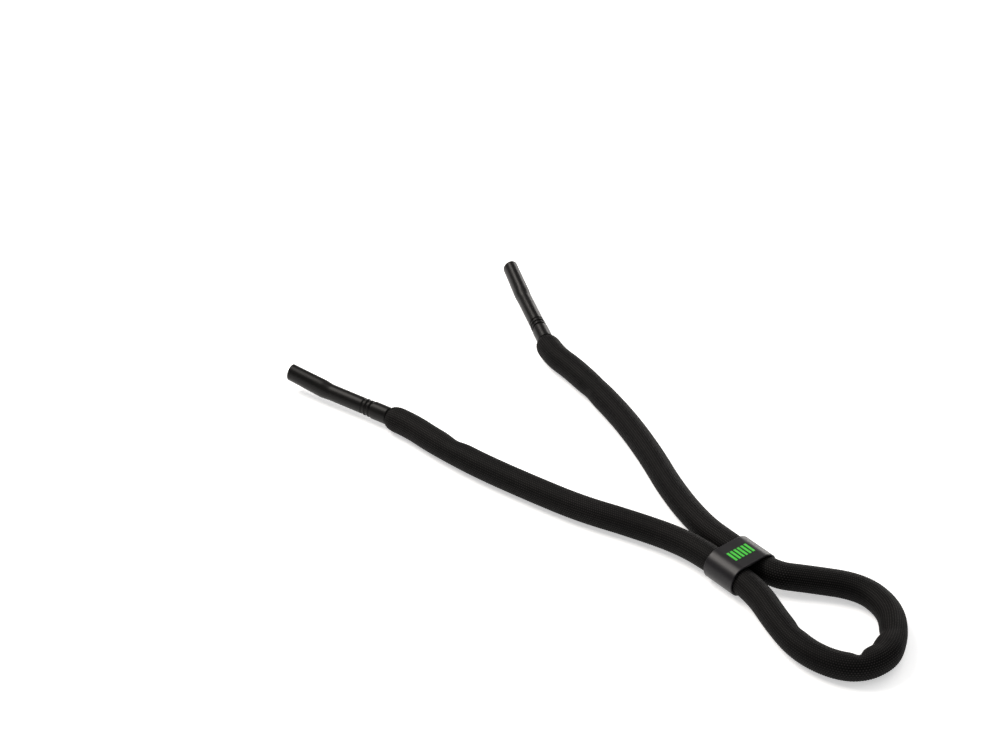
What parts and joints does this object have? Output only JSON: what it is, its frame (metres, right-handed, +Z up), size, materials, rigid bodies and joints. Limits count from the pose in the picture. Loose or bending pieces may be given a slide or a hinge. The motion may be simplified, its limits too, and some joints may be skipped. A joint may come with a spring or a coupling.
{
  "type": "floating eyewear retainer strap",
  "caption": "Braided tubular eyewear strap with a foam core, a flat oval slider over its doubled tail loop, and rubber sleeves that grip the temple tips.",
  "frame": {"origin": "on the surface that the strap lies on, under the middle of the slider", "axes": "+Y forward along the slider towards the temple sleeves, +X the wearer's right, +Z up"},
  "size_m": [0.1142, 0.2674, 0.0152],
  "materials": {
    "braid": "tight-knit matt black braid",
    "foam": "closed-cell foam",
    "slider_plastic": "satin black",
    "mark_ink": "printed green",
    "sleeve_rubber": "smooth satin rubber",
    "plug_plastic": "moulded",
    "thread": "waxed thread"
  },
  "bodies": {
    "strap": {"braided_cover": "braid", "foam_core": "foam"},
    "slider": {"slider": "slider_plastic", "slider_mark": "mark_ink"},
    "left_end_turn": {"left_end_binding": "thread"},
    "left_end": {"left_end_plug": "plug_plastic", "left_temple_sleeve": "sleeve_rubber"},
    "right_end_turn": {"right_end_binding": "thread"},
    "right_end": {"right_end_plug": "plug_plastic", "right_temple_sleeve": "sleeve_rubber"}
  },
  "joints": [
    {"name": "slider_travel", "type": "slide", "parent": "strap", "child": "slider", "axis": [0, 1, 0], "range_m": [-0.015, 0.04], "deforming": ["braided_cover", "foam_core"]},
    {"name": "left_end_swing", "type": "hinge", "parent": "strap", "child": "left_end_turn", "pos_m": [-0.0377, 0.14675, 0.005], "axis": [0, 0, 1], "range_deg": [-30, 30], "stiffness_Nm_per_rad": 0.015, "deforming": ["braided_cover"]},
    {"name": "left_end_lift", "type": "hinge", "parent": "left_end_turn", "child": "left_end", "pos_m": [-0.0377, 0.14675, 0.005], "axis": [0.9588, 0.284, 0], "range_deg": [-2.5, 35], "stiffness_Nm_per_rad": 0.015, "deforming": ["braided_cover", "left_end_binding"]},
    {"name": "right_end_swing", "type": "hinge", "parent": "strap", "child": "right_end_turn", "pos_m": [0.03794, 0.14786, 0.005], "axis": [0, 0, 1], "range_deg": [-30, 30], "stiffness_Nm_per_rad": 0.015, "deforming": ["braided_cover"]},
    {"name": "right_end_lift", "type": "hinge", "parent": "right_end_turn", "child": "right_end", "pos_m": [0.03794, 0.14786, 0.005], "axis": [0.9272, -0.3746, 0], "range_deg": [-7.5, 30], "stiffness_Nm_per_rad": 0.015, "deforming": ["braided_cover", "right_end_binding"]}
  ]
}
